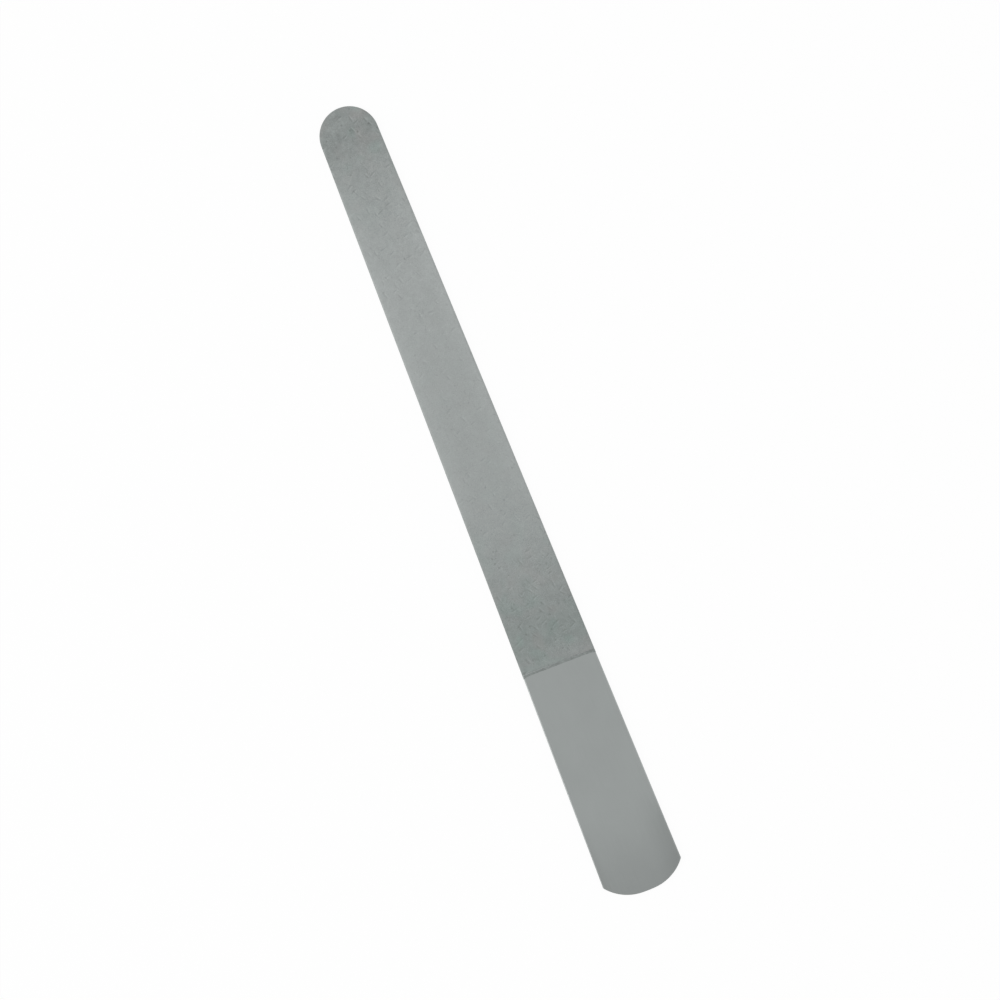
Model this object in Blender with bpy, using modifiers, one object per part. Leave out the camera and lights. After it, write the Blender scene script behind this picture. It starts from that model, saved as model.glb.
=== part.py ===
"""A long flat nail file, for Blender 4.5.

One stamped steel strip is the handle and the blade. Its working end is plated with nickel, which
holds a coarse abrasive coat on the upper face and a fine one on the lower face.

Units are metres and +Z is up. The file lies flat on its fine side. +Y runs from the butt of the
handle to the tip, and the origin is under the middle of the file, on the surface it lies on.
"""

import math

import bpy

# Steel blank
OVERALL_LENGTH = 0.2  # butt to tip, over the nickel
BLANK_THICKNESS = 0.001
EDGE_ROUNDING = 0.0002  # tumbled edges, all the way round
TIP_RADIUS = 0.0071
BUTT_WIDTH = 0.0199  # across the two corners of the butt
BUTT_CORNER_SETBACK = 0.00435  # how far the corners stand back from the butt's end
CROWN_WIDTH = 0.0036  # the nearly flat middle of the butt's end
CROWN_RADIUS = 0.03

# Nickel plating and abrasive coats
HANDLE_LENGTH = 0.0578  # bare steel, from the butt's end to the nickel
NICKEL_THICKNESS = 0.00005  # from the steel to the outside
NICKEL_CLEARANCE = 0.000005  # keeps the plating's inside just off the steel
NICKEL_BAND = 0.0005  # dark line where the nickel runs on past the coats
COARSE_COAT_THICKNESS = 0.00016
FINE_COAT_THICKNESS = 0.00009

# How finely the round stretches are divided
TIP_SEGMENTS = 40
SHOULDER_SEGMENTS = 12
CROWN_SEGMENTS = 4
EDGE_SEGMENTS = 3

CUT_OVERRUN = 0.002  # how far a cutter, or what it trims, runs past the cut
WELD_DISTANCE = 0.00001
SHARP_ANGLE = math.radians(30)

# Heights, from the surface that the file lies on
FINE_COAT_TOP = FINE_COAT_THICKNESS
BLANK_BOTTOM = FINE_COAT_TOP + NICKEL_THICKNESS
BLANK_TOP = BLANK_BOTTOM + BLANK_THICKNESS
NICKEL_TOP = BLANK_TOP + NICKEL_THICKNESS
COARSE_COAT_TOP = NICKEL_TOP + COARSE_COAT_THICKNESS

# Places along the file
BUTT_END = -OVERALL_LENGTH / 2
BLANK_TIP = OVERALL_LENGTH / 2 - NICKEL_THICKNESS
TIP_CENTRE = BLANK_TIP - TIP_RADIUS
BUTT_CORNER = BUTT_END + BUTT_CORNER_SETBACK
NICKEL_END = BUTT_END + HANDLE_LENGTH
COAT_END = NICKEL_END + NICKEL_BAND


def side_angle():
    """Where the straight side meets the tip's arc, as an angle that turns from -Y towards +X."""
    half_width = BUTT_WIDTH / 2
    to_corner = TIP_CENTRE - BUTT_CORNER
    distance = math.hypot(half_width, to_corner)
    return math.atan2(half_width, to_corner) + math.acos(TIP_RADIUS / distance)


def side_at(y, grow):
    """Half the width of the strip at y, for an outline grown by that much all round."""
    angle = side_angle()
    return (TIP_RADIUS + grow + math.cos(angle) * (y - TIP_CENTRE)) / math.sin(angle)


def arc(centre_x, centre_y, radius, first, last, segments):
    """Points along an arc, from one angle to another. Angles turn from -Y towards +X."""
    points = []
    for step in range(segments + 1):
        angle = first + (last - first) * step / segments
        points.append((centre_x + radius * math.sin(angle), centre_y - radius * math.cos(angle)))
    return points


def tip_half(grow):
    """The right half of the rounded tip, from the straight side to the middle."""
    segments = TIP_SEGMENTS // 2
    return arc(0, TIP_CENTRE, TIP_RADIUS + grow, side_angle(), math.pi, segments)


def butt_half():
    """The right half of the butt's end: a nearly flat crown, then a rounder shoulder to the corner."""
    crown_angle = math.asin(CROWN_WIDTH / 2 / CROWN_RADIUS)
    crown = arc(0, BUTT_END + CROWN_RADIUS, CROWN_RADIUS, 0, crown_angle, CROWN_SEGMENTS // 2)
    start_x, start_y = crown[-1]
    across = BUTT_WIDTH / 2 - start_x
    back = BUTT_CORNER - start_y
    half_turn = math.atan2(back, across) - crown_angle
    radius = math.hypot(across, back) / (2 * math.sin(half_turn))
    centre_x = start_x - radius * math.sin(crown_angle)
    centre_y = start_y + radius * math.cos(crown_angle)
    corner_angle = crown_angle + 2 * half_turn
    shoulder = arc(centre_x, centre_y, radius, crown_angle, corner_angle, SHOULDER_SEGMENTS)
    return crown + shoulder[1:]


def mirrored(half):
    """A closed outline from its right half."""
    left = [(-x, y) for x, y in reversed(half) if x > WELD_DISTANCE]
    return half + left


def blank_outline():
    """The whole strip, seen from above."""
    return mirrored(butt_half() + tip_half(0))


def working_outline(end, grow):
    """The working end of the strip, cut square at y = end and grown by that much all round."""
    return mirrored([(side_at(end, grow), end)] + tip_half(grow))


def make_material(name, colour, roughness, metallic):
    """A plain material in the colour that the file shows."""
    material = bpy.data.materials.new(name)
    material.use_nodes = True
    shader = material.node_tree.nodes["Principled BSDF"]
    shader.inputs["Base Color"].default_value = (*colour, 1.0)
    shader.inputs["Roughness"].default_value = roughness
    shader.inputs["Metallic"].default_value = metallic
    return material


def make_curve(name, outline, thickness, collection):
    """A flat piece of even thickness, as a filled 2D curve that is extruded."""
    curve = bpy.data.curves.new(name, "CURVE")
    curve.dimensions = "2D"
    curve.fill_mode = "BOTH"
    curve.extrude = thickness / 2
    spline = curve.splines.new("POLY")
    spline.points.add(len(outline) - 1)
    for point, (x, y) in zip(spline.points, outline):
        point.co = (x, y, 0, 1)
    spline.use_cyclic_u = True
    slab = bpy.data.objects.new(name, curve)
    collection.objects.link(slab)
    return slab


def make_slab(name, outline, bottom, top, rounding, collection):
    """A flat piece between two heights, with its edges rounded, made a mesh that can be cut."""
    drawn = make_curve(name, outline, top - bottom, collection)
    drawn.location.z = (bottom + top) / 2
    weld = drawn.modifiers.new("weld caps", "WELD")
    weld.merge_threshold = WELD_DISTANCE
    if rounding > 0:
        bevel = drawn.modifiers.new("round edges", "BEVEL")
        bevel.width = rounding
        bevel.segments = EDGE_SEGMENTS
        bevel.angle_limit = SHARP_ANGLE
    bpy.context.view_layer.update()
    graph = bpy.context.evaluated_depsgraph_get()
    mesh = bpy.data.meshes.new_from_object(drawn.evaluated_get(graph))
    mesh.shade_smooth()
    mesh.set_sharp_from_angle(angle=SHARP_ANGLE)
    place = drawn.matrix_world.copy()
    bpy.data.objects.remove(drawn)
    slab = bpy.data.objects.new(name, mesh)
    slab.matrix_world = place
    collection.objects.link(slab)
    return slab


def make_cutter_box(name, low, high, collection):
    """A box for cutting, given by its lowest and highest corners."""
    bpy.ops.mesh.primitive_cube_add(size=1)
    box = bpy.context.object
    box.name = name
    box.location = [(a + b) / 2 for a, b in zip(low, high)]
    box.scale = [b - a for a, b in zip(low, high)]
    for other in box.users_collection:
        other.objects.unlink(box)
    collection.objects.link(box)
    return box


def cut(solid, cutter):
    """Takes the cutter's shape out of the solid, and keeps the cutter as a guide."""
    boolean = solid.modifiers.new("less " + cutter.name, "BOOLEAN")
    boolean.operation = "DIFFERENCE"
    boolean.object = cutter
    cutter.display_type = "WIRE"
    cutter.hide_render = True


def make_steel_blank(pieces):
    """The stamped strip, handle and blade in one."""
    outline = blank_outline()
    blank = make_slab("steel_blank", outline, BLANK_BOTTOM, BLANK_TOP, EDGE_ROUNDING, pieces)
    steel = make_material("satin_steel", (0.31, 0.33, 0.32), 0.38, 1.0)
    blank.data.materials.append(steel)


def make_nickel_jacket(pieces, cutters):
    """The plating, worn like a sock by the dipped end of the blank, on its faces and its edges."""
    drawn_end = NICKEL_END - CUT_OVERRUN
    outline = working_outline(drawn_end, NICKEL_THICKNESS)
    rounding = EDGE_ROUNDING + NICKEL_THICKNESS
    jacket = make_slab("nickel_jacket", outline, FINE_COAT_TOP, NICKEL_TOP, rounding, pieces)
    nickel = make_material("bare_nickel", (0.2, 0.215, 0.21), 0.45, 1.0)
    jacket.data.materials.append(nickel)

    room_outline = working_outline(drawn_end - CUT_OVERRUN, NICKEL_CLEARANCE)
    room_bottom = BLANK_BOTTOM - NICKEL_CLEARANCE
    room_top = BLANK_TOP + NICKEL_CLEARANCE
    room_rounding = EDGE_ROUNDING + NICKEL_CLEARANCE
    room = make_slab("room_for_blank", room_outline, room_bottom, room_top, room_rounding, cutters)
    cut(jacket, room)

    reach = side_at(drawn_end, NICKEL_THICKNESS) + CUT_OVERRUN
    low = (-reach, drawn_end - CUT_OVERRUN, FINE_COAT_TOP - CUT_OVERRUN)
    high = (reach, NICKEL_END, NICKEL_TOP + CUT_OVERRUN)
    cut(jacket, make_cutter_box("handle_mask", low, high, cutters))


def make_grit_coat(name, bottom, top, material, pieces):
    """An abrasive coat, on the flat of one face up to where the edge starts to round."""
    coat = make_slab(name, working_outline(COAT_END, -EDGE_ROUNDING), bottom, top, 0, pieces)
    coat.data.materials.append(material)


def main():
    """Clears the scene and makes the file's pieces."""
    for obj in list(bpy.data.objects):
        bpy.data.objects.remove(obj)
    pieces = bpy.data.collections.new("nail_file")
    cutters = bpy.data.collections.new("cutters")
    bpy.context.scene.collection.children.link(pieces)
    bpy.context.scene.collection.children.link(cutters)

    make_steel_blank(pieces)
    make_nickel_jacket(pieces, cutters)
    coarse = make_material("coarse_grit", (0.33, 0.352, 0.342), 0.75, 0.6)
    make_grit_coat("coarse_grit_coat", NICKEL_TOP, COARSE_COAT_TOP, coarse, pieces)
    fine = make_material("fine_grit", (0.37, 0.39, 0.38), 0.65, 0.6)
    make_grit_coat("fine_grit_coat", 0, FINE_COAT_TOP, fine, pieces)


main()
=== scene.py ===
import math

import bpy
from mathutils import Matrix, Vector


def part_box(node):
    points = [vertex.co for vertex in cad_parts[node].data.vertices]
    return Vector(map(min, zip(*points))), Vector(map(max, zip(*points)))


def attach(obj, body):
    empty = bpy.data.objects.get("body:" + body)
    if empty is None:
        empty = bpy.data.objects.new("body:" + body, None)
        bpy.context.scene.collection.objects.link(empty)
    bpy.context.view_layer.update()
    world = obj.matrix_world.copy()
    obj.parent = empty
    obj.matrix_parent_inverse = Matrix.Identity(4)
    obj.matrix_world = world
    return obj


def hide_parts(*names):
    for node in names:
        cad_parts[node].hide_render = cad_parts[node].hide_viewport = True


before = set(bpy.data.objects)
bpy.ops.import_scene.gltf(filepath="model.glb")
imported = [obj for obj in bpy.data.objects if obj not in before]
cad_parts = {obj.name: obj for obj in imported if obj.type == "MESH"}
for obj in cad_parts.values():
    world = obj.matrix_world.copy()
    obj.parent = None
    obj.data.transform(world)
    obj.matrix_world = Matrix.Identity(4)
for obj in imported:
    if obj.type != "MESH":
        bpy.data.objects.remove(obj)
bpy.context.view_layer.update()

mm = 0.001
tiny = 0.001 * mm  # points closer than this are one point
sharpAngle = math.radians(30)

# places that the fixed frame gives
blankLow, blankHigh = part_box("steel_blank")
nickelLow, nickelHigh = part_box("nickel_jacket")
coarseLow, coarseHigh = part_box("coarse_grit_coat")
fineLow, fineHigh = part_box("fine_grit_coat")
buttEnd = blankLow.y
nickelEnd = nickelLow.y  # the bare steel of the handle starts here
gritEnd = coarseLow.y


# the outline of the strip, which every piece follows
strip = {
    "tipRadius": 7.1 * mm,
    "cornerSetback": 4.35 * mm,  # from the butt's end back to its two corners
    "crownWidth": 3.6 * mm,  # the nearly flat middle of the butt's end
    "crownRadius": 30 * mm,
    "edgeRounding": 0.2 * mm,
    "roundingSteps": 4,
    "askew": math.radians(0.85),  # how crooked the end of the plating and the grit is
    "crownSteps": 4,
    "shoulderSteps": 20,
    "tipSteps": 48,
}
tipRadius = strip["tipRadius"]
tipCentre = blankHigh.y - tipRadius
buttCorner = (blankHigh.x, buttEnd + strip["cornerSetback"])


def sideAngle():
    # where the straight side leaves the tip's arc; angles turn from -Y towards +X
    across, along = buttCorner[0], tipCentre - buttCorner[1]
    return math.atan2(across, along) + math.acos(tipRadius / math.hypot(across, along))


sideTaper = -math.cos(sideAngle())  # how fast the half width grows towards the butt


def halfWidth(y, grow):
    # half the strip's width at y, for an outline grown by that much
    return (tipRadius + grow + sideTaper * (tipCentre - y)) / math.sin(sideAngle())


def onArc(centre, radius, angle):
    return centre[0] + radius * math.sin(angle), centre[1] - radius * math.cos(angle)


# small steps of modelling by hand
def clearSelection():
    if bpy.context.mode != "OBJECT":
        bpy.ops.object.mode_set(mode="OBJECT")
    bpy.ops.object.select_all(action="DESELECT")


def pick(piece, kind, wanted):
    # selects vertices, edges or faces by their place, and stays in edit mode
    bpy.ops.object.mode_set(mode="EDIT")
    bpy.ops.mesh.select_mode(type=kind)
    bpy.ops.mesh.select_all(action="DESELECT")
    bpy.ops.object.mode_set(mode="OBJECT")
    mesh = piece.data
    if kind == "VERT":
        for vertex in mesh.vertices:
            vertex.select = wanted(vertex.co)
    if kind == "EDGE":
        for edge in mesh.edges:
            first, second = (mesh.vertices[index].co for index in edge.vertices)
            edge.select = wanted(first, second)
    if kind == "FACE":
        for face in mesh.polygons:
            face.select = wanted(face)
    bpy.ops.object.mode_set(mode="EDIT")


def applyModifiers(piece):
    if bpy.context.mode != "OBJECT":
        bpy.ops.object.mode_set(mode="OBJECT")
    for modifier in list(piece.modifiers):
        bpy.ops.object.modifier_apply(modifier=modifier.name)


def faceOutwards():
    bpy.ops.mesh.select_all(action="SELECT")
    bpy.ops.mesh.normals_make_consistent(inside=False)


def startOutline(name, place):
    # a plane merged to one vertex, ready to be spun and extruded into half an outline
    clearSelection()
    bpy.ops.mesh.primitive_plane_add(size=mm, enter_editmode=True)
    bpy.context.object.name = name
    bpy.ops.mesh.select_mode(type="VERT")
    bpy.ops.mesh.merge(type="CENTER")
    bpy.ops.transform.translate(value=place)
    return bpy.context.object


def drawLine(start, end):
    step = (end[0] - start[0], end[1] - start[1], 0)
    bpy.ops.mesh.extrude_region_move(TRANSFORM_OT_translate={"value": step})


def drawArc(centre, turn, steps):
    bpy.ops.mesh.spin(steps=steps, angle=-turn, center=(*centre, 0), axis=(0, 0, 1))


def drawSideAndTip(start, grow):
    # the straight side and the tip's quarter turn, up to the middle of the strip
    corner = onArc((0, tipCentre), tipRadius + grow, sideAngle())
    drawLine(start, corner)
    drawArc((0, tipCentre), math.pi - sideAngle(), strip["tipSteps"])


def fillAndMirror(piece):
    # the half outline becomes one flat face with its mirror image
    bpy.ops.mesh.select_all(action="SELECT")
    bpy.ops.mesh.edge_face_add()
    otherHalf = piece.modifiers.new("other half", "MIRROR")
    otherHalf.merge_threshold = tiny
    applyModifiers(piece)
    bpy.ops.object.mode_set(mode="EDIT")
    bpy.ops.mesh.select_mode(type="FACE")
    bpy.ops.mesh.select_all(action="SELECT")
    bpy.ops.mesh.dissolve_faces()


def turnEnd(end):
    # swings the picked end a little out of square
    bpy.ops.transform.rotate(value=strip["askew"], orient_axis="Z", center_override=(0, end, 0))


def thicken(piece, thickness, rounding):
    # a flat face pulled up to a plate, with its rims rounded
    bpy.ops.mesh.extrude_region_move(TRANSFORM_OT_translate={"value": (0, 0, thickness)})
    faceOutwards()
    rounded = piece.modifiers.new("tumbled edges", "BEVEL")
    rounded.width = rounding
    rounded.segments = strip["roundingSteps"]
    rounded.angle_limit = sharpAngle
    applyModifiers(piece)


def shadeByAngle(piece, angle):
    clearSelection()
    piece.select_set(True)
    bpy.context.view_layer.objects.active = piece
    bpy.ops.object.shade_smooth_by_angle(angle=angle)


def dress(piece, node, material):
    piece.data.materials.append(material)
    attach(piece, "root")
    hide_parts(node)


# shader sums: operators on wires add Math nodes
class Wire:
    def __init__(self, tree, socket):
        self.tree = tree
        self.socket = socket

    def node(self, kind, settings, sockets, output=0):
        # any node: its settings go first, then its sockets' values and links
        made = self.tree.nodes.new("ShaderNode" + kind)
        for name, value in settings.items():
            if name == "stops":
                placeStops(made.color_ramp.elements, value)
            else:
                setattr(made, name, value)
        for name, value in sockets.items():
            if isinstance(value, Wire):
                self.tree.links.new(value.socket, made.inputs[name])
            else:
                made.inputs[name].default_value = value
        return Wire(self.tree, made.outputs[output] if made.outputs else None)

    def other(self, output):
        return Wire(self.tree, self.socket.node.outputs[output])

    def maths(self, operation, first, second=0.0):
        return self.node("Math", {"operation": operation}, {0: first, 1: second})

    def __add__(self, value):
        return self.maths("ADD", self, value)

    def __sub__(self, value):
        return self.maths("SUBTRACT", self, value)

    def __mul__(self, value):
        return self.maths("MULTIPLY", self, value)

    def __truediv__(self, value):
        return self.maths("DIVIDE", self, value)

    def __radd__(self, value):
        return self.maths("ADD", value, self)

    def __rsub__(self, value):
        return self.maths("SUBTRACT", value, self)

    def __rmul__(self, value):
        return self.maths("MULTIPLY", value, self)


def placeStops(elements, stops):
    # a grey or coloured ramp from pairs of a place and a value
    while len(elements) < len(stops):
        elements.new(1.0)
    for element, (place, value) in zip(elements, stops):
        element.position = place
        element.color = (*value, 1.0) if isinstance(value, tuple) else (value, value, value, 1.0)


def startMaterial(name):
    # a material without nodes yet, and its Object coordinates in millimetres
    material = bpy.data.materials.new(name)
    material.use_nodes = True
    material.node_tree.nodes.clear()
    start = Wire(material.node_tree, None)
    metres = start.node("TexCoord", {}, {}, "Object")
    place = start.node("Mapping", {}, {"Vector": metres, "Scale": (1 / mm, 1 / mm, 1 / mm)})
    return material, place


def noise(place, cellsPerMm, detail, roughness=0.5):
    sockets = {"Vector": place, "Scale": cellsPerMm, "Detail": detail, "Roughness": roughness}
    return place.node("TexNoise", {}, sockets)


def vectors(operation, *values, output=0):
    # vector maths on wires and plain vectors, of which the first is a wire
    return values[0].node("VectorMath", {"operation": operation}, dict(enumerate(values)), output)


def shifted(place, offset):
    return vectors("ADD", place, offset)


def rise(value, low, high):
    # 0 up to low and 1 from high on, with soft ends; low may be the larger
    sockets = {"Value": value, "From Min": low, "From Max": high}
    return value.node("MapRange", {"interpolation_type": "SMOOTHSTEP"}, sockets)


def toned(colour, tone):
    settings = {"data_type": "RGBA", "blend_type": "MULTIPLY", "clamp_result": False}
    return tone.node("Mix", settings, {0: 1.0, 6: colour, 7: tone}, 2)


def tinted(colour, tint):
    settings = {"data_type": "RGBA", "blend_type": "MULTIPLY"}
    return colour.node("Mix", settings, {0: 1.0, 6: colour, 7: (*tint, 1.0)}, 2)


def blended(amount, first, second):
    return amount.node("Mix", {"data_type": "RGBA"}, {0: amount, 6: first, 7: second}, 2)


def sideDistance(place):
    # how far in from the strip's long edges and tip a point lies, in millimetres
    axes = place.node("SeparateXYZ", {}, {"Vector": place})
    along = axes.other("Y")
    past = axes.maths("MAXIMUM", along - tipCentre / mm, 0.0)
    before = axes.maths("MAXIMUM", tipCentre / mm - along, 0.0)
    reach = axes.maths("SQRT", axes * axes + past * past)
    return tipRadius / mm + before * sideTaper - reach


def finish(place, colour, metallic, roughness, normal):
    sockets = {"Base Color": colour, "Metallic": metallic, "Roughness": roughness, "Normal": normal}
    shader = place.node("BsdfPrincipled", {}, sockets)
    place.node("OutputMaterial", {}, {"Surface": shader})


# the steel blank: handle and blade stamped in one from a strip
steelBlank = {
    "capInset": 0.1 * mm,  # a narrow ring keeps the rounding's shading off the flats
    "colour": (0.2863, 0.3037, 0.2987),
    "buttShade": 0.15,  # how much darker the butt's end is painted, as painted shade
    "endReach": 21,  # mm from the butt's end to where that begins
    "edgeShade": 0.11,  # and how much darker its right edge is painted there, as painted shade
    "rightShadeReach": 6.5,
    "leftEdgeShade": 0.06,
    "leftReach": 2.3,
    "edgeShadeFade": (24, 14),  # mm from the butt's end, where both begin and where they are full
    "strokes": (7.0, 0.12, 7.0),  # brush marks in one mm, long ones along the strip
    "brushing": 0.07,
    "smudges": 0.03,
    "mottle": 0.02,
    "rimHighlight": 0.04,  # painted highlight: the tumbled edges are painted a little brighter
    "rimReach": 0.6,
    "roughness": 0.36,
    "brushedGloss": 0.16,  # how much the gloss changes with the brushing
    "smudgedGloss": 0.08,
    "brushDepth": 0.006 * mm,
}


def makeSteelBlank():
    crownAngle = math.asin(strip["crownWidth"] / 2 / strip["crownRadius"])
    crownCentre = (0, buttEnd + strip["crownRadius"])
    crownCorner = onArc(crownCentre, strip["crownRadius"], crownAngle)
    across, back = buttCorner[0] - crownCorner[0], buttCorner[1] - crownCorner[1]
    halfTurn = math.atan2(back, across) - crownAngle
    shoulderRadius = math.hypot(across, back) / 2 / math.sin(halfTurn)
    shoulderCentre = onArc(crownCorner, -shoulderRadius, crownAngle)

    piece = startOutline("steelBlank", (0, buttEnd, blankLow.z))
    drawArc(crownCentre, crownAngle, strip["crownSteps"])
    drawArc(shoulderCentre, 2 * halfTurn, strip["shoulderSteps"])
    drawSideAndTip(buttCorner, 0)
    fillAndMirror(piece)
    thicken(piece, blankHigh.z - blankLow.z, strip["edgeRounding"])
    pick(piece, "FACE", lambda face: abs(face.normal.z) > 0.99)
    bpy.ops.mesh.inset(thickness=steelBlank["capInset"])
    shadeByAngle(piece, sharpAngle)
    dress(piece, "steel_blank", satinSteel())
    print("steel blank:", len(piece.data.polygons), "faces")


def satinSteel():
    material, place = startMaterial("satinSteel")
    look = steelBlank
    across = place.node("SeparateXYZ", {}, {"Vector": place})
    along = across.other("Y")
    lengthwise = place.node("Mapping", {}, {"Vector": place, "Scale": look["strokes"]})
    brushing = noise(lengthwise, 1.0, 3.0, 0.6) - 0.5
    smudges = noise(place, 0.11, 2.0) - 0.5
    mottle = noise(shifted(place, (40.0, 0.0, 0.0)), 0.5, 2.0) - 0.5

    # painted shade: darker towards the butt's end and along its two edges there
    fromButt = along - buttEnd / mm
    fromRight = buttCorner[0] / mm - across
    fromLeft = buttCorner[0] / mm + across
    paintedButtShade = rise(fromButt, look["endReach"], 0.0) * look["buttShade"]
    edgeShade = rise(fromRight, look["rightShadeReach"], 0.0) * look["edgeShade"]
    edgeShade = edgeShade + rise(fromLeft, look["leftReach"], 0.0) * look["leftEdgeShade"]
    edgeShade = edgeShade * rise(fromButt, *look["edgeShadeFade"])
    # painted highlight along the tumbled edges, which are also made glossier
    rimHighlightAndGloss = rise(sideDistance(place), look["rimReach"], 0.1) * look["rimHighlight"]
    tone = 1 + brushing * look["brushing"] + smudges * look["smudges"] + mottle * look["mottle"]
    tone = tone - paintedButtShade - edgeShade + rimHighlightAndGloss

    gloss = brushing * look["brushedGloss"] + smudges * look["smudgedGloss"]
    roughness = look["roughness"] + gloss - rimHighlightAndGloss * 2
    bump = place.node("Bump", {}, {"Strength": 0.4, "Distance": look["brushDepth"], "Height": brushing})
    finish(place, toned((*look["colour"], 1.0), tone), 1.0, roughness, bump)
    return material


# how pale the working end is, from the line across the strip to the tip
coarseTones = ((0.0, 0.27), (0.045, 0.07), (0.09, 0.17), (0.2, 0.57), (0.3, 0.79), (0.4, 0.84),
               (0.7, 1.0), (0.79, 0.85), (0.88, 0.57), (0.95, 0.19), (1.0, 0.38))
fineTones = ((0.0, 0.35), (0.3, 0.8), (0.7, 1.0), (1.0, 0.4))


def paleness(along, tones):
    share = (along - gritEnd / mm) / ((nickelHigh.y - gritEnd) / mm)
    return share.node("ValToRGB", {"stops": tones}, {"Fac": share})


# the nickel jacket: plating on the working end, open towards the handle like a sock
nickelJacket = {
    "growth": 0.05 * mm,  # outside of the plating over the steel
    "wall": 0.045 * mm,
    "overrun": 2 * mm,  # drawn longer, then cut square
    "endCuts": 95,
    "endWave": 0.17 * mm,  # how unevenly the plating stops
    "endReach": 0.1 * mm,  # and how far past the solid's end
    "waveLength": 1.6 * mm,
    "creep": 0.3 * mm,  # how far it runs on along the two long edges
    "creepReach": 1.2 * mm,
    "darkRim": (0.29, 0.315, 0.306),
    "paleRim": (0.47, 0.49, 0.483),
    "bandColour": (0.203, 0.22, 0.214),
    "level": 1.03,
    "pebbleTone": 0.4,
    "patchTone": 0.1,
    "noduleTone": 0.16,  # from the darkest to the palest, and of the painted shade in the gaps between them
    "cornerTone": 0.12,  # how much darker the band's two ends are
    "lumpTone": 0.7,  # how uneven the band is
    "roughness": 0.45,
    "nodules": 5.5,  # in one mm
    "noduleHeight": 0.05 * mm,
}


def makeNickelJacket():
    look = nickelJacket
    grow = look["growth"]
    drawnEnd = nickelEnd - look["overrun"]
    corner = (halfWidth(drawnEnd, grow), drawnEnd)
    piece = startOutline("nickelJacket", (0, drawnEnd, nickelLow.z))
    drawLine((0, drawnEnd), corner)
    drawSideAndTip(corner, grow)
    fillAndMirror(piece)
    thicken(piece, nickelHigh.z - nickelLow.z, strip["edgeRounding"] + grow)

    # cut the end open
    bpy.ops.object.mode_set(mode="EDIT")
    bpy.ops.mesh.select_all(action="SELECT")
    bpy.ops.mesh.bisect(plane_co=(0, nickelEnd, 0), plane_no=(0, 1, 0), clear_inner=True)
    atEnd = nickelEnd + mm
    pick(piece, "EDGE", lambda first, second:
         max(first.y, second.y) < atEnd and abs(first.x - second.x) > mm)
    bpy.ops.mesh.subdivide(number_cuts=look["endCuts"])

    # the plating creeps further along the two long edges, and stops unevenly
    pick(piece, "VERT", lambda point: point.y < atEnd)
    turnEnd(nickelEnd)
    bpy.ops.transform.translate(value=(0, -look["endReach"], 0))
    edge = halfWidth(nickelEnd, grow) - strip["edgeRounding"]
    pick(piece, "VERT", lambda point: point.y < atEnd and abs(point.x) > edge)
    bpy.ops.transform.translate(value=(0, -look["creep"], 0), use_proportional_edit=True,
                                proportional_edit_falloff="SHARP", proportional_size=look["creepReach"])
    bpy.ops.object.mode_set(mode="OBJECT")
    ends = [vertex.index for vertex in piece.data.vertices if vertex.co.y < atEnd]
    piece.vertex_groups.new(name="end").add(ends, 1.0, "REPLACE")
    wave = bpy.data.textures.new("platingEnd", "CLOUDS")
    wave.noise_scale = look["waveLength"]
    uneven = piece.modifiers.new("uneven end", "DISPLACE")
    uneven.texture = wave
    uneven.direction = "Y"
    uneven.strength = look["endWave"]
    uneven.vertex_group = "end"
    wall = piece.modifiers.new("wall", "SOLIDIFY")
    wall.thickness = look["wall"]
    wall.offset = -1
    wall.use_even_offset = True
    applyModifiers(piece)
    shadeByAngle(piece, sharpAngle)
    dress(piece, "nickel_jacket", bareNickel())
    print("nickel jacket:", len(piece.data.polygons), "faces")


def bareNickel():
    material, place = startMaterial("bareNickel")
    look = nickelJacket
    along = place.node("SeparateXYZ", {}, {"Vector": place}, "Y")
    pale = paleness(along, coarseTones)
    pebbles = noise(place, 4.0, 4.0, 0.6) - 0.5
    patches = noise(place, 0.3, 2.0) - 0.5
    nodules = place.node("TexVoronoi", {}, {"Vector": place, "Scale": look["nodules"]})
    chance = nodules.node("SeparateColor", {}, {"Color": nodules.other("Color")}) - 0.5
    # painted shade in the gaps between the nodules
    gapShade = rise(nodules, 0.35, 0.75)

    # the bare band past the grit, which is the dark line across the strip
    inwards = sideDistance(place)
    band = rise(along, gritEnd / mm + 0.15, gritEnd / mm - 0.05)
    band = band * (0.35 + rise(inwards, -0.05, 0.3) * 0.65)
    rim = blended(pale, (*look["darkRim"], 1.0), (*look["paleRim"], 1.0))
    colour = blended(band, rim, (*look["bandColour"], 1.0))
    corners = rise(inwards, 1.8, 0.1) * band
    lumps = noise(shifted(place, (0.0, 9.0, 0.0)), 1.1, 2.0) - 0.5
    tone = look["level"] + pebbles * look["pebbleTone"] + patches * look["patchTone"]
    tone = tone + chance * look["noduleTone"] - gapShade * look["noduleTone"]
    tone = tone - corners * look["cornerTone"] + lumps * band * look["lumpTone"]

    roughness = look["roughness"] + pebbles * 0.2 + chance * 0.1
    height = pebbles + chance * 0.3 - nodules * 0.6
    bump = place.node("Bump", {}, {"Strength": 0.8, "Distance": look["noduleHeight"], "Height": height})
    finish(place, toned(colour, tone), 1.0, roughness, bump)
    return material


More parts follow.
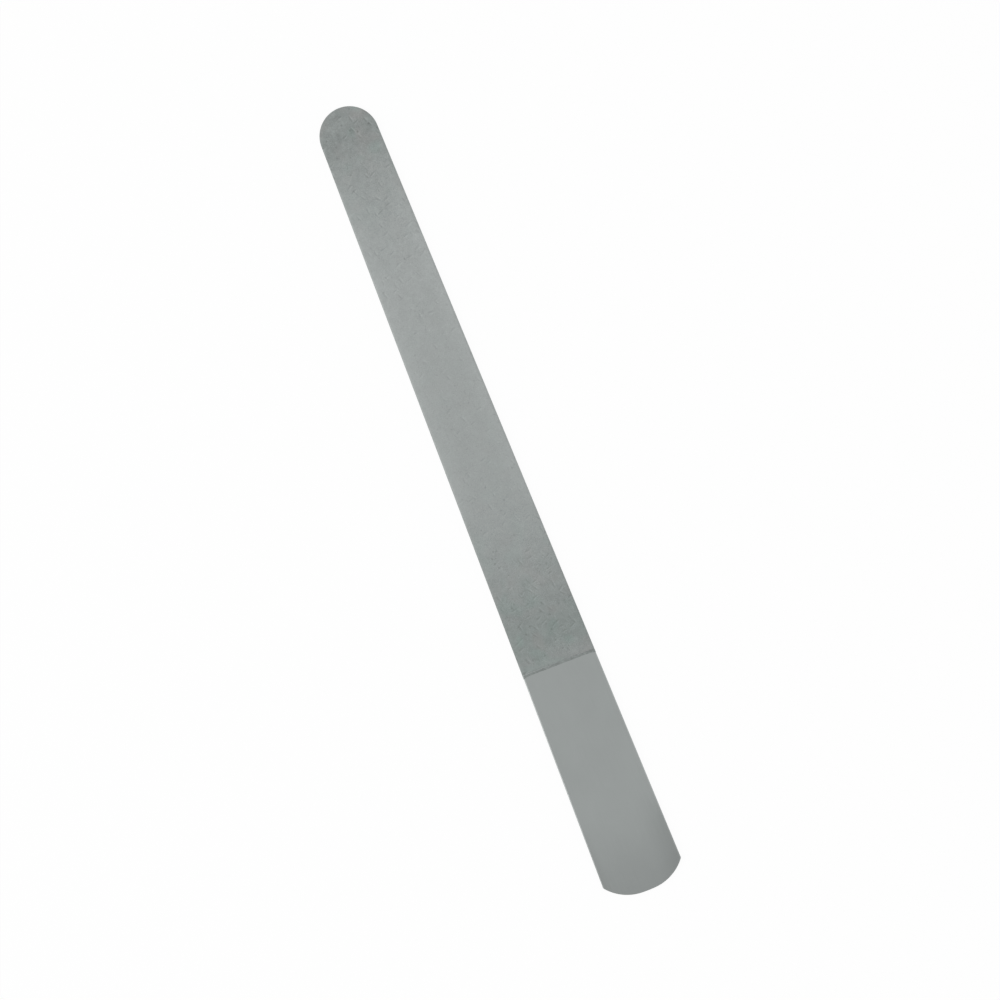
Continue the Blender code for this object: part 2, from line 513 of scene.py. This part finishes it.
# the two grit coats: a bed of grains on each face, run over the rounded edge
gritMesh = {
    "rows": 840,  # along the straight part
    "columns": 100,  # across, an even number
    "tipSteps": 160,  # half a turn
    "reach": -0.03 * mm,  # outline of the coat, grown from the steel's
    "rimWidth": 0.4 * mm,  # where the coat follows the rounded edge down
    "baseInset": 0.2 * mm,
    "baseFall": 0.13 * mm,
    "ragged": 0.025 * mm,  # how far points are pushed aside
}
coarseGrit = {
    "node": "coarse_grit_coat",
    "slot": "coarse_grit",
    "facing": 1,
    "bed": coarseLow.z,  # the side that lies on the nickel
    "face": coarseHigh.z,
    "rimFall": 0.13 * mm,
    "grainSize": 0.62 * mm,
    "grainHeight": 0.03 * mm,
    "crumbSize": 0.4 * mm,
    "crumbHeight": 0.012 * mm,
    "swellSize": 7 * mm,
    "swellHeight": 0.02 * mm,
    "darkColour": (0.278, 0.304, 0.295),
    "paleColour": (0.405, 0.428, 0.422),
    "roughness": 0.7,
    "crystals": 9.0,  # in one mm
    "crystalHeight": 0.05 * mm,
    "contrast": 0.24,  # from the darkest crystal to the palest
    "specks": 0.14,  # how much more often dark crystals come where they gather
    "hollows": 1.3,  # in one mm
    "pits": 0.08,
}
fineGrit = {
    "node": "fine_grit_coat",
    "slot": "fine_grit",
    "facing": -1,
    "bed": fineHigh.z,
    "face": fineLow.z,
    "rimFall": 0.1 * mm,
    "grainSize": 0.5 * mm,
    "grainHeight": 0.018 * mm,
    "crumbSize": 0.4 * mm,
    "crumbHeight": 0.01 * mm,
    "swellSize": 9 * mm,
    "swellHeight": 0.01 * mm,
    "darkColour": (0.285, 0.308, 0.3),
    "paleColour": (0.385, 0.405, 0.4),
    "roughness": 0.64,
    "crystals": 12.0,
    "crystalHeight": 0.03 * mm,
    "contrast": 0.2,
    "specks": 0.05,
    "hollows": 2.6,
    "pits": 0.03,
}


def makeGritSheet(name, level):
    # a finely divided sheet: the round tip first, then the long taper drawn out of it
    look = gritMesh
    radius = tipRadius + look["reach"]
    piece = startOutline(name, (0, tipCentre, level))
    drawLine((0, tipCentre), (radius, tipCentre))
    bpy.ops.mesh.select_all(action="SELECT")
    bpy.ops.mesh.subdivide(number_cuts=look["columns"] // 2 - 1)
    drawArc((0, tipCentre), math.pi, look["tipSteps"])
    bpy.ops.mesh.select_all(action="SELECT")
    bpy.ops.mesh.remove_doubles(threshold=tiny)
    pick(piece, "VERT", lambda point: point.y < tipCentre + tiny)
    drawLine((0, tipCentre), (0, gritEnd))
    bpy.ops.transform.resize(value=(halfWidth(gritEnd, look["reach"]) / radius, 1, 1))
    turnEnd(gritEnd)
    pick(piece, "EDGE", lambda first, second: abs(first.y - second.y) > mm)
    bpy.ops.mesh.subdivide_edgering(number_cuts=look["rows"] - 1, interpolation="LINEAR")
    faceOutwards()
    return piece


def pressGrains(piece, look):
    # uneven plating, then grains, then crumbs between them
    facing = look["facing"]
    swell = bpy.data.textures.new("swell", "CLOUDS")
    swell.noise_scale = look["swellSize"]
    grains = bpy.data.textures.new("grains", "VORONOI")
    grains.noise_scale = look["grainSize"]
    grains.weight_1 = -1.0
    grains.weight_2 = 1.0
    crumbs = bpy.data.textures.new("crumbs", "CLOUDS")
    crumbs.noise_scale = look["crumbSize"]
    crumbs.noise_depth = 1
    layers = ((swell, look["swellHeight"]), (grains, look["grainHeight"]), (crumbs, look["crumbHeight"]))
    for texture, height in layers:
        relief = piece.modifiers.new(texture.name, "DISPLACE")
        relief.texture = texture
        relief.direction = "Z"
        relief.strength = facing * height
        relief.mid_level = 1.0 if texture.type == "VORONOI" else 0.5
    ragged = bpy.data.textures.new("ragged", "CLOUDS")
    ragged.noise_scale = look["crumbSize"]
    ragged.cloud_type = "COLOR"
    aside = piece.modifiers.new("ragged", "DISPLACE")
    aside.texture = ragged
    aside.direction = "RGB_TO_XYZ"
    aside.strength = gritMesh["ragged"]
    applyModifiers(piece)


def pickRim():
    # selects the open edges all round a sheet
    bpy.ops.mesh.select_mode(type="EDGE")
    bpy.ops.mesh.select_all(action="DESELECT")
    bpy.ops.mesh.select_non_manifold(use_wire=False, use_multi_face=False, use_non_contiguous=False,
                                     use_verts=False)


def makeGritCoat(name, look, tones):
    facing = look["facing"]
    piece = makeGritSheet(name, look["face"] - facing * look["swellHeight"])

    # the rim rolls over the rounded edge
    pickRim()
    bpy.ops.transform.translate(value=(0, 0, -facing * look["rimFall"]), use_proportional_edit=True,
                                proportional_edit_falloff="SHARP", proportional_size=gritMesh["rimWidth"])
    pressGrains(piece, look)

    # close the underside, which lies on the nickel
    fall = facing * gritMesh["baseFall"]
    bpy.ops.object.mode_set(mode="EDIT")
    pickRim()
    bpy.ops.mesh.extrude_region_move(TRANSFORM_OT_translate={"value": (0, 0, -fall)})
    bpy.ops.transform.resize(value=(1, 1, 0), center_override=(0, 0, look["bed"] - fall))
    bpy.ops.mesh.edge_face_add()
    faceOutwards()
    pick(piece, "FACE", lambda face: len(face.vertices) > 4)
    bpy.ops.mesh.inset(thickness=gritMesh["baseInset"], depth=-gritMesh["baseFall"])
    shadeByAngle(piece, math.radians(60))
    dress(piece, look["node"], gritMaterial(name, look, tones))
    print(name + ":", len(piece.data.polygons), "faces")


# painted light and shade of nicks in the grit: each is painted dark on one side and pale on the other,
# with no dent in the surface
paintedNickMarks = {
    "spacing": (1.35, 2.9, 1.35),  # mm
    "drift": 1.6,  # mm, how crooked they lie
    "firstWay": 0.38,  # the two ways in which they lie
    "secondWay": -1.2,
    "depth": 0.075,
    "depthAtEnds": 0.08,
    "moreAtEnds": 0.07,
}


def nickLightAndShade(place, turn, offset, share):
    # painted shade and highlight of a few nicks that lie one way, more of them and more strongly painted
    # where the share is high
    look = paintedNickMarks
    moved = shifted(place, (offset, 0.0, 0.0))
    drift = place.node("TexNoise", {}, {"Vector": moved, "Scale": 0.25, "Detail": 0.0}, "Color")
    moved = vectors("MULTIPLY_ADD", drift, (look["drift"], look["drift"], 0.0), moved)
    sockets = {"Vector": moved, "Rotation": (0.0, 0.0, turn), "Scale": look["spacing"]}
    leaning = place.node("Mapping", {"vector_type": "TEXTURE"}, sockets)
    cells = leaning.node("TexVoronoi", {"voronoi_dimensions": "2D"}, {"Vector": leaning, "Scale": 1.0})
    picked = cells.node("SeparateColor", {}, {"Color": cells.other("Color")})
    fromMiddle = vectors("SUBTRACT", leaning, cells.other("Position"))
    side = fromMiddle.node("SeparateXYZ", {}, {"Vector": fromMiddle})
    paintedNick = rise(cells, 0.38, 0.12) * rise(picked + share * look["moreAtEnds"], 0.9, 0.94)
    return paintedNick * (rise(side, -0.15, 0.15) * 1.6 - 0.9) * (look["depth"] + share * look["depthAtEnds"])


# how much each thing changes a coat's tone, and its tints
gritTone = {
    "level": 0.963,
    "broad": 0.035,
    "mottle": 0.025,
    "mottleAtEnds": 0.23,
    "mottleInUpper": 0.06,
    "blotches": 0.03,
    "blotchesAtEnds": 0.17,
    "blotchesInUpper": 0.11,
    "crystals": 0.13,
    "crystalsAtEnds": 0.24,
    # painted shade: gaps between crystals are darker, and each facet is darker on one side and paler on
    # the other
    "gapShade": 0.1,
    "facetShade": 0.04,
    "darkCrystals": 0.15,
    "paleCrystals": 0.12,
    "pits": 0.1,
    "knobs": 0.06,
    "worn": 0.016,
    # painted highlight along the coat's rolled edge
    "rim": 0.02,
    "spots": 0.08,  # darker spots where the coat ends
    "corner": 0.16,
    "green": (0.95, 1.02, 0.995),
    "brown": (1.03, 0.985, 0.987),
    "byTheLine": (1.03, 1.0, 1.01),
}
# mm along the file from its middle, where each stretch begins and where it is full
gritStretches = {
    "upper": (30, 50),
    "nearTip": (84, 94),
    "wornFrom": (-14, 8),
    "wornTo": (95, 72),
}


def stained(colour, place, along, unworn):
    # green and brown stains where the coat is unworn, and a warmer stretch by the line
    green = rise(noise(shifted(place, (0.0, 70.0, 0.0)), 0.22, 1.0), 0.5, 0.7)
    green = green + rise(along, gritEnd / mm + 15, gritEnd / mm + 9) * 0.3
    brown = rise(noise(shifted(place, (70.0, 0.0, 0.0)), 0.2, 1.0), 0.5, 0.7)
    byTheLine = rise(along, gritEnd / mm + 5.5, gritEnd / mm + 1)
    colour = blended(green * unworn, colour, tinted(colour, gritTone["green"]))
    colour = blended(brown * unworn, colour, tinted(colour, gritTone["brown"]))
    return blended(byTheLine, colour, tinted(colour, gritTone["byTheLine"]))


def gritMaterial(name, look, tones):
    material, place = startMaterial(name)
    amount = gritTone
    across = place.node("SeparateXYZ", {}, {"Vector": place})
    along = across.other("Y")
    inwards = sideDistance(place)
    pale = paleness(along, tones)
    colour = blended(pale, (*look["darkColour"], 1.0), (*look["paleColour"], 1.0))
    ends = 1.15 - pale
    upper = rise(along, *gritStretches["upper"])
    nearTip = rise(along, *gritStretches["nearTip"]) * 0.35

    # crystals: crooked cells, each with its own tone and a facet tilted its own way
    size = 1 / look["crystals"]
    wobble = place.node("TexNoise", {}, {"Vector": place, "Scale": 1.6 / size, "Detail": 1.0}, "Color")
    crooked = vectors("MULTIPLY_ADD", wobble, (size, size, size), place)
    cells = crooked.node("TexVoronoi", {}, {"Vector": crooked, "Scale": look["crystals"]})
    chances = cells.node("SeparateColor", {}, {"Color": cells.other("Color")})
    chance = chances - 0.5
    tilt = vectors("SUBTRACT", cells.other("Color"), (0.5, 0.5, 0.5))
    fromMiddle = vectors("SUBTRACT", crooked, cells.other("Position"))
    facet = vectors("DOT_PRODUCT", tilt, fromMiddle, output="Value") * look["crystals"]
    # painted shade in the gaps between crystals
    gapShade = rise(cells, 0.4, 0.75)

    # dark crystals gather near both ends, with a few pale ones
    clusters = rise(noise(shifted(place, (20.0, 0.0, 0.0)), 0.22, 2.0), 0.35, 0.65) * ends
    darkOnes = rise(chances.other("Green") + clusters * look["specks"], 0.97, 0.99)
    paleOnes = rise(chances.other("Blue") + clusters * (look["specks"] * 0.5), 0.97, 0.99)
    hollows = place.node("TexVoronoi", {}, {"Vector": crooked, "Scale": look["hollows"]})
    where = hollows.node("SeparateColor", {}, {"Color": hollows.other("Color")})
    near = rise(hollows, 0.5, 0.1)
    pits = near * rise(where + clusters * look["pits"], 0.96, 0.98)
    knobs = near * rise(where.other("Green") + clusters * look["pits"], 0.96, 0.98)

    # painted light and shade of nicks that lie two ways
    share = ends + upper * 0.5
    paintedNicks = nickLightAndShade(place, paintedNickMarks["firstWay"], 5.0, share)
    paintedNicks = paintedNicks + nickLightAndShade(place, paintedNickMarks["secondWay"], 25.0, share)

    # worn bright along the two long edges of the middle stretch, and a painted highlight along the rolled
    # edge
    worn = rise(inwards, 5.0, 0.0)
    worn = worn * rise(along, *gritStretches["wornFrom"]) * rise(along, *gritStretches["wornTo"])
    # painted highlight: the coat is painted a little brighter where it rolls over the edge
    rim = rise(inwards, 0.55, 0.1)

    # darker in spots where the coat ends, and in its left corner
    fromLine = along - gritEnd / mm + across * math.tan(strip["askew"])
    spots = rise(noise(place, 0.9, 1.0), 0.5, 0.62) * rise(fromLine, 0.5, 0.15)
    corner = rise(inwards, 1.5, 0.4) * rise(fromLine, 0.9, 0.35) * rise(across, 0.0, -1.0)

    broad = noise(place, 0.09, 2.0) - 0.5
    mottle = noise(shifted(place, (0.0, 0.0, 30.0)), 0.35, 3.0) - 0.5
    mottled = (ends + nearTip * 1.8) * amount["mottleAtEnds"] + upper * amount["mottleInUpper"]
    blotches = noise(shifted(place, (0.0, 50.0, 0.0)), 1.3, 2.0, 0.6) - 0.5
    blotched = ends * amount["blotchesAtEnds"] + upper * amount["blotchesInUpper"]
    tone = amount["level"] + broad * amount["broad"] + mottle * (mottled + amount["mottle"])
    tone = tone + blotches * (blotched + amount["blotches"])
    tone = tone + worn * amount["worn"] + rim * amount["rim"] + paintedNicks
    contrast = (ends * amount["crystalsAtEnds"] + amount["crystals"]) * look["contrast"]
    # painted shade and highlight: each crystal is painted darker on one side of its facet and paler on
    # the other, besides its bump
    tone = tone + chance * contrast - gapShade * amount["gapShade"] + facet * amount["facetShade"]
    tone = tone - darkOnes * amount["darkCrystals"] + paleOnes * amount["paleCrystals"]
    # painted shade: the hollows are painted darker in their middle, besides their dent in the bump
    tone = tone - pits * (ends + 1) * amount["pits"] + knobs * amount["knobs"]
    tone = tone - spots * amount["spots"] - corner * amount["corner"]

    unworn = ends * ends * 0.8 + nearTip + 0.04
    colour = stained(colour, place, along, unworn)
    relief = facet + chance * 0.3 - cells * 0.5 - pits + knobs * 0.8
    bump = place.node("Bump", {}, {"Strength": 0.55, "Distance": look["crystalHeight"], "Height": relief})
    roughness = look["roughness"] + chance * 0.09 - paleOnes * 0.05 - worn * 0.05
    finish(place, toned(colour, tone), 0.5, roughness, bump)
    return material


# camera, straight above, as in the photograph
viewPlan = {
    "lens": 85,
    "sensor": 36,
    "frameWidth": 237.6 * mm,  # what the picture spans at the height of the file
    "turn": math.radians(-21.656),
    "right": 1.51 * mm,  # the view's centre from the file's centre, as the picture is turned
    "up": -0.21 * mm,
    "clipStart": 10 * mm,
}


def addCamera():
    plan = viewPlan
    clearSelection()
    turn = plan["turn"]
    across = plan["right"] * math.cos(turn) - plan["up"] * math.sin(turn)
    along = plan["right"] * math.sin(turn) + plan["up"] * math.cos(turn)
    height = coarseHigh.z + plan["frameWidth"] * plan["lens"] / plan["sensor"]
    bpy.ops.object.camera_add(location=(across, along, height), rotation=(0, 0, turn))
    camera = bpy.context.object
    camera.data.lens = plan["lens"]
    camera.data.sensor_width = plan["sensor"]
    camera.data.clip_start = plan["clipStart"]
    bpy.context.scene.camera = camera


# a plain pale studio
studio = {
    "floorSize": 30,
    "floorDrop": 0.02 * mm,
    "floorColour": (0.97, 0.97, 0.97),
    "floorGlow": 0.95,  # share of the floor that shows as plain white
    "skyLevel": 0.58,  # what the white surroundings add to the light
    "keyPower": 6.3,
    "keySize": 1.1,
    "keyPlace": (-0.91, 0.12, 0.85),
    "fillPower": 2.5,
    "fillSize": 1.4,
    "fillPlace": (0.9, -0.6, 0.9),
}


def seenPlainly(start):
    # 1 for what the camera sees, straight or in metal and glass
    path = start.node("LightPath", {}, {}, "Is Camera Ray")
    seen = path + path.other("Is Glossy Ray") + path.other("Is Transmission Ray")
    return path.maths("MINIMUM", seen, 1.0)


def addFloor():
    clearSelection()
    bpy.ops.mesh.primitive_plane_add(size=studio["floorSize"], location=(0, 0, -studio["floorDrop"]))
    floor = bpy.context.object
    floor.name = "floor"
    material = bpy.data.materials.new("paleFloor")
    material.use_nodes = True
    material.node_tree.nodes.clear()
    start = Wire(material.node_tree, None)
    matt = start.node("BsdfDiffuse", {}, {"Color": (*studio["floorColour"], 1.0)})
    plain = start.node("Emission", {}, {"Color": (1.0, 1.0, 1.0, 1.0), "Strength": 1.0})
    share = seenPlainly(start) * studio["floorGlow"]
    surface = start.node("MixShader", {}, {0: share, 1: matt, 2: plain})
    start.node("OutputMaterial", {}, {"Surface": surface})
    floor.data.materials.append(material)


def addSky():
    world = bpy.data.worlds.new("studio")
    world.use_nodes = True
    world.node_tree.nodes.clear()
    start = Wire(world.node_tree, None)
    level = studio["skyLevel"] + seenPlainly(start) * (1 - studio["skyLevel"])
    sky = start.node("Background", {}, {"Color": (1.0, 1.0, 1.0, 1.0), "Strength": level})
    start.node("OutputWorld", {}, {"Surface": sky})
    bpy.context.scene.world = world


def addSoftBox(name, place, size, power):
    clearSelection()
    bpy.ops.object.light_add(type="AREA", location=place)
    lamp = bpy.context.object
    lamp.name = name
    lamp.data.size = size
    lamp.data.energy = power
    lamp.rotation_euler = (-lamp.location).to_track_quat("-Z", "Y").to_euler()


makeSteelBlank()
makeNickelJacket()
makeGritCoat("coarseGrit", coarseGrit, coarseTones)
makeGritCoat("fineGrit", fineGrit, fineTones)
addCamera()
addFloor()
addSky()
addSoftBox("key", studio["keyPlace"], studio["keySize"], studio["keyPower"])
addSoftBox("fill", studio["fillPlace"], studio["fillSize"], studio["fillPower"])
bpy.context.scene.view_settings.view_transform = "Standard"
print("camera, floor and lights are in place")

clearSelection()
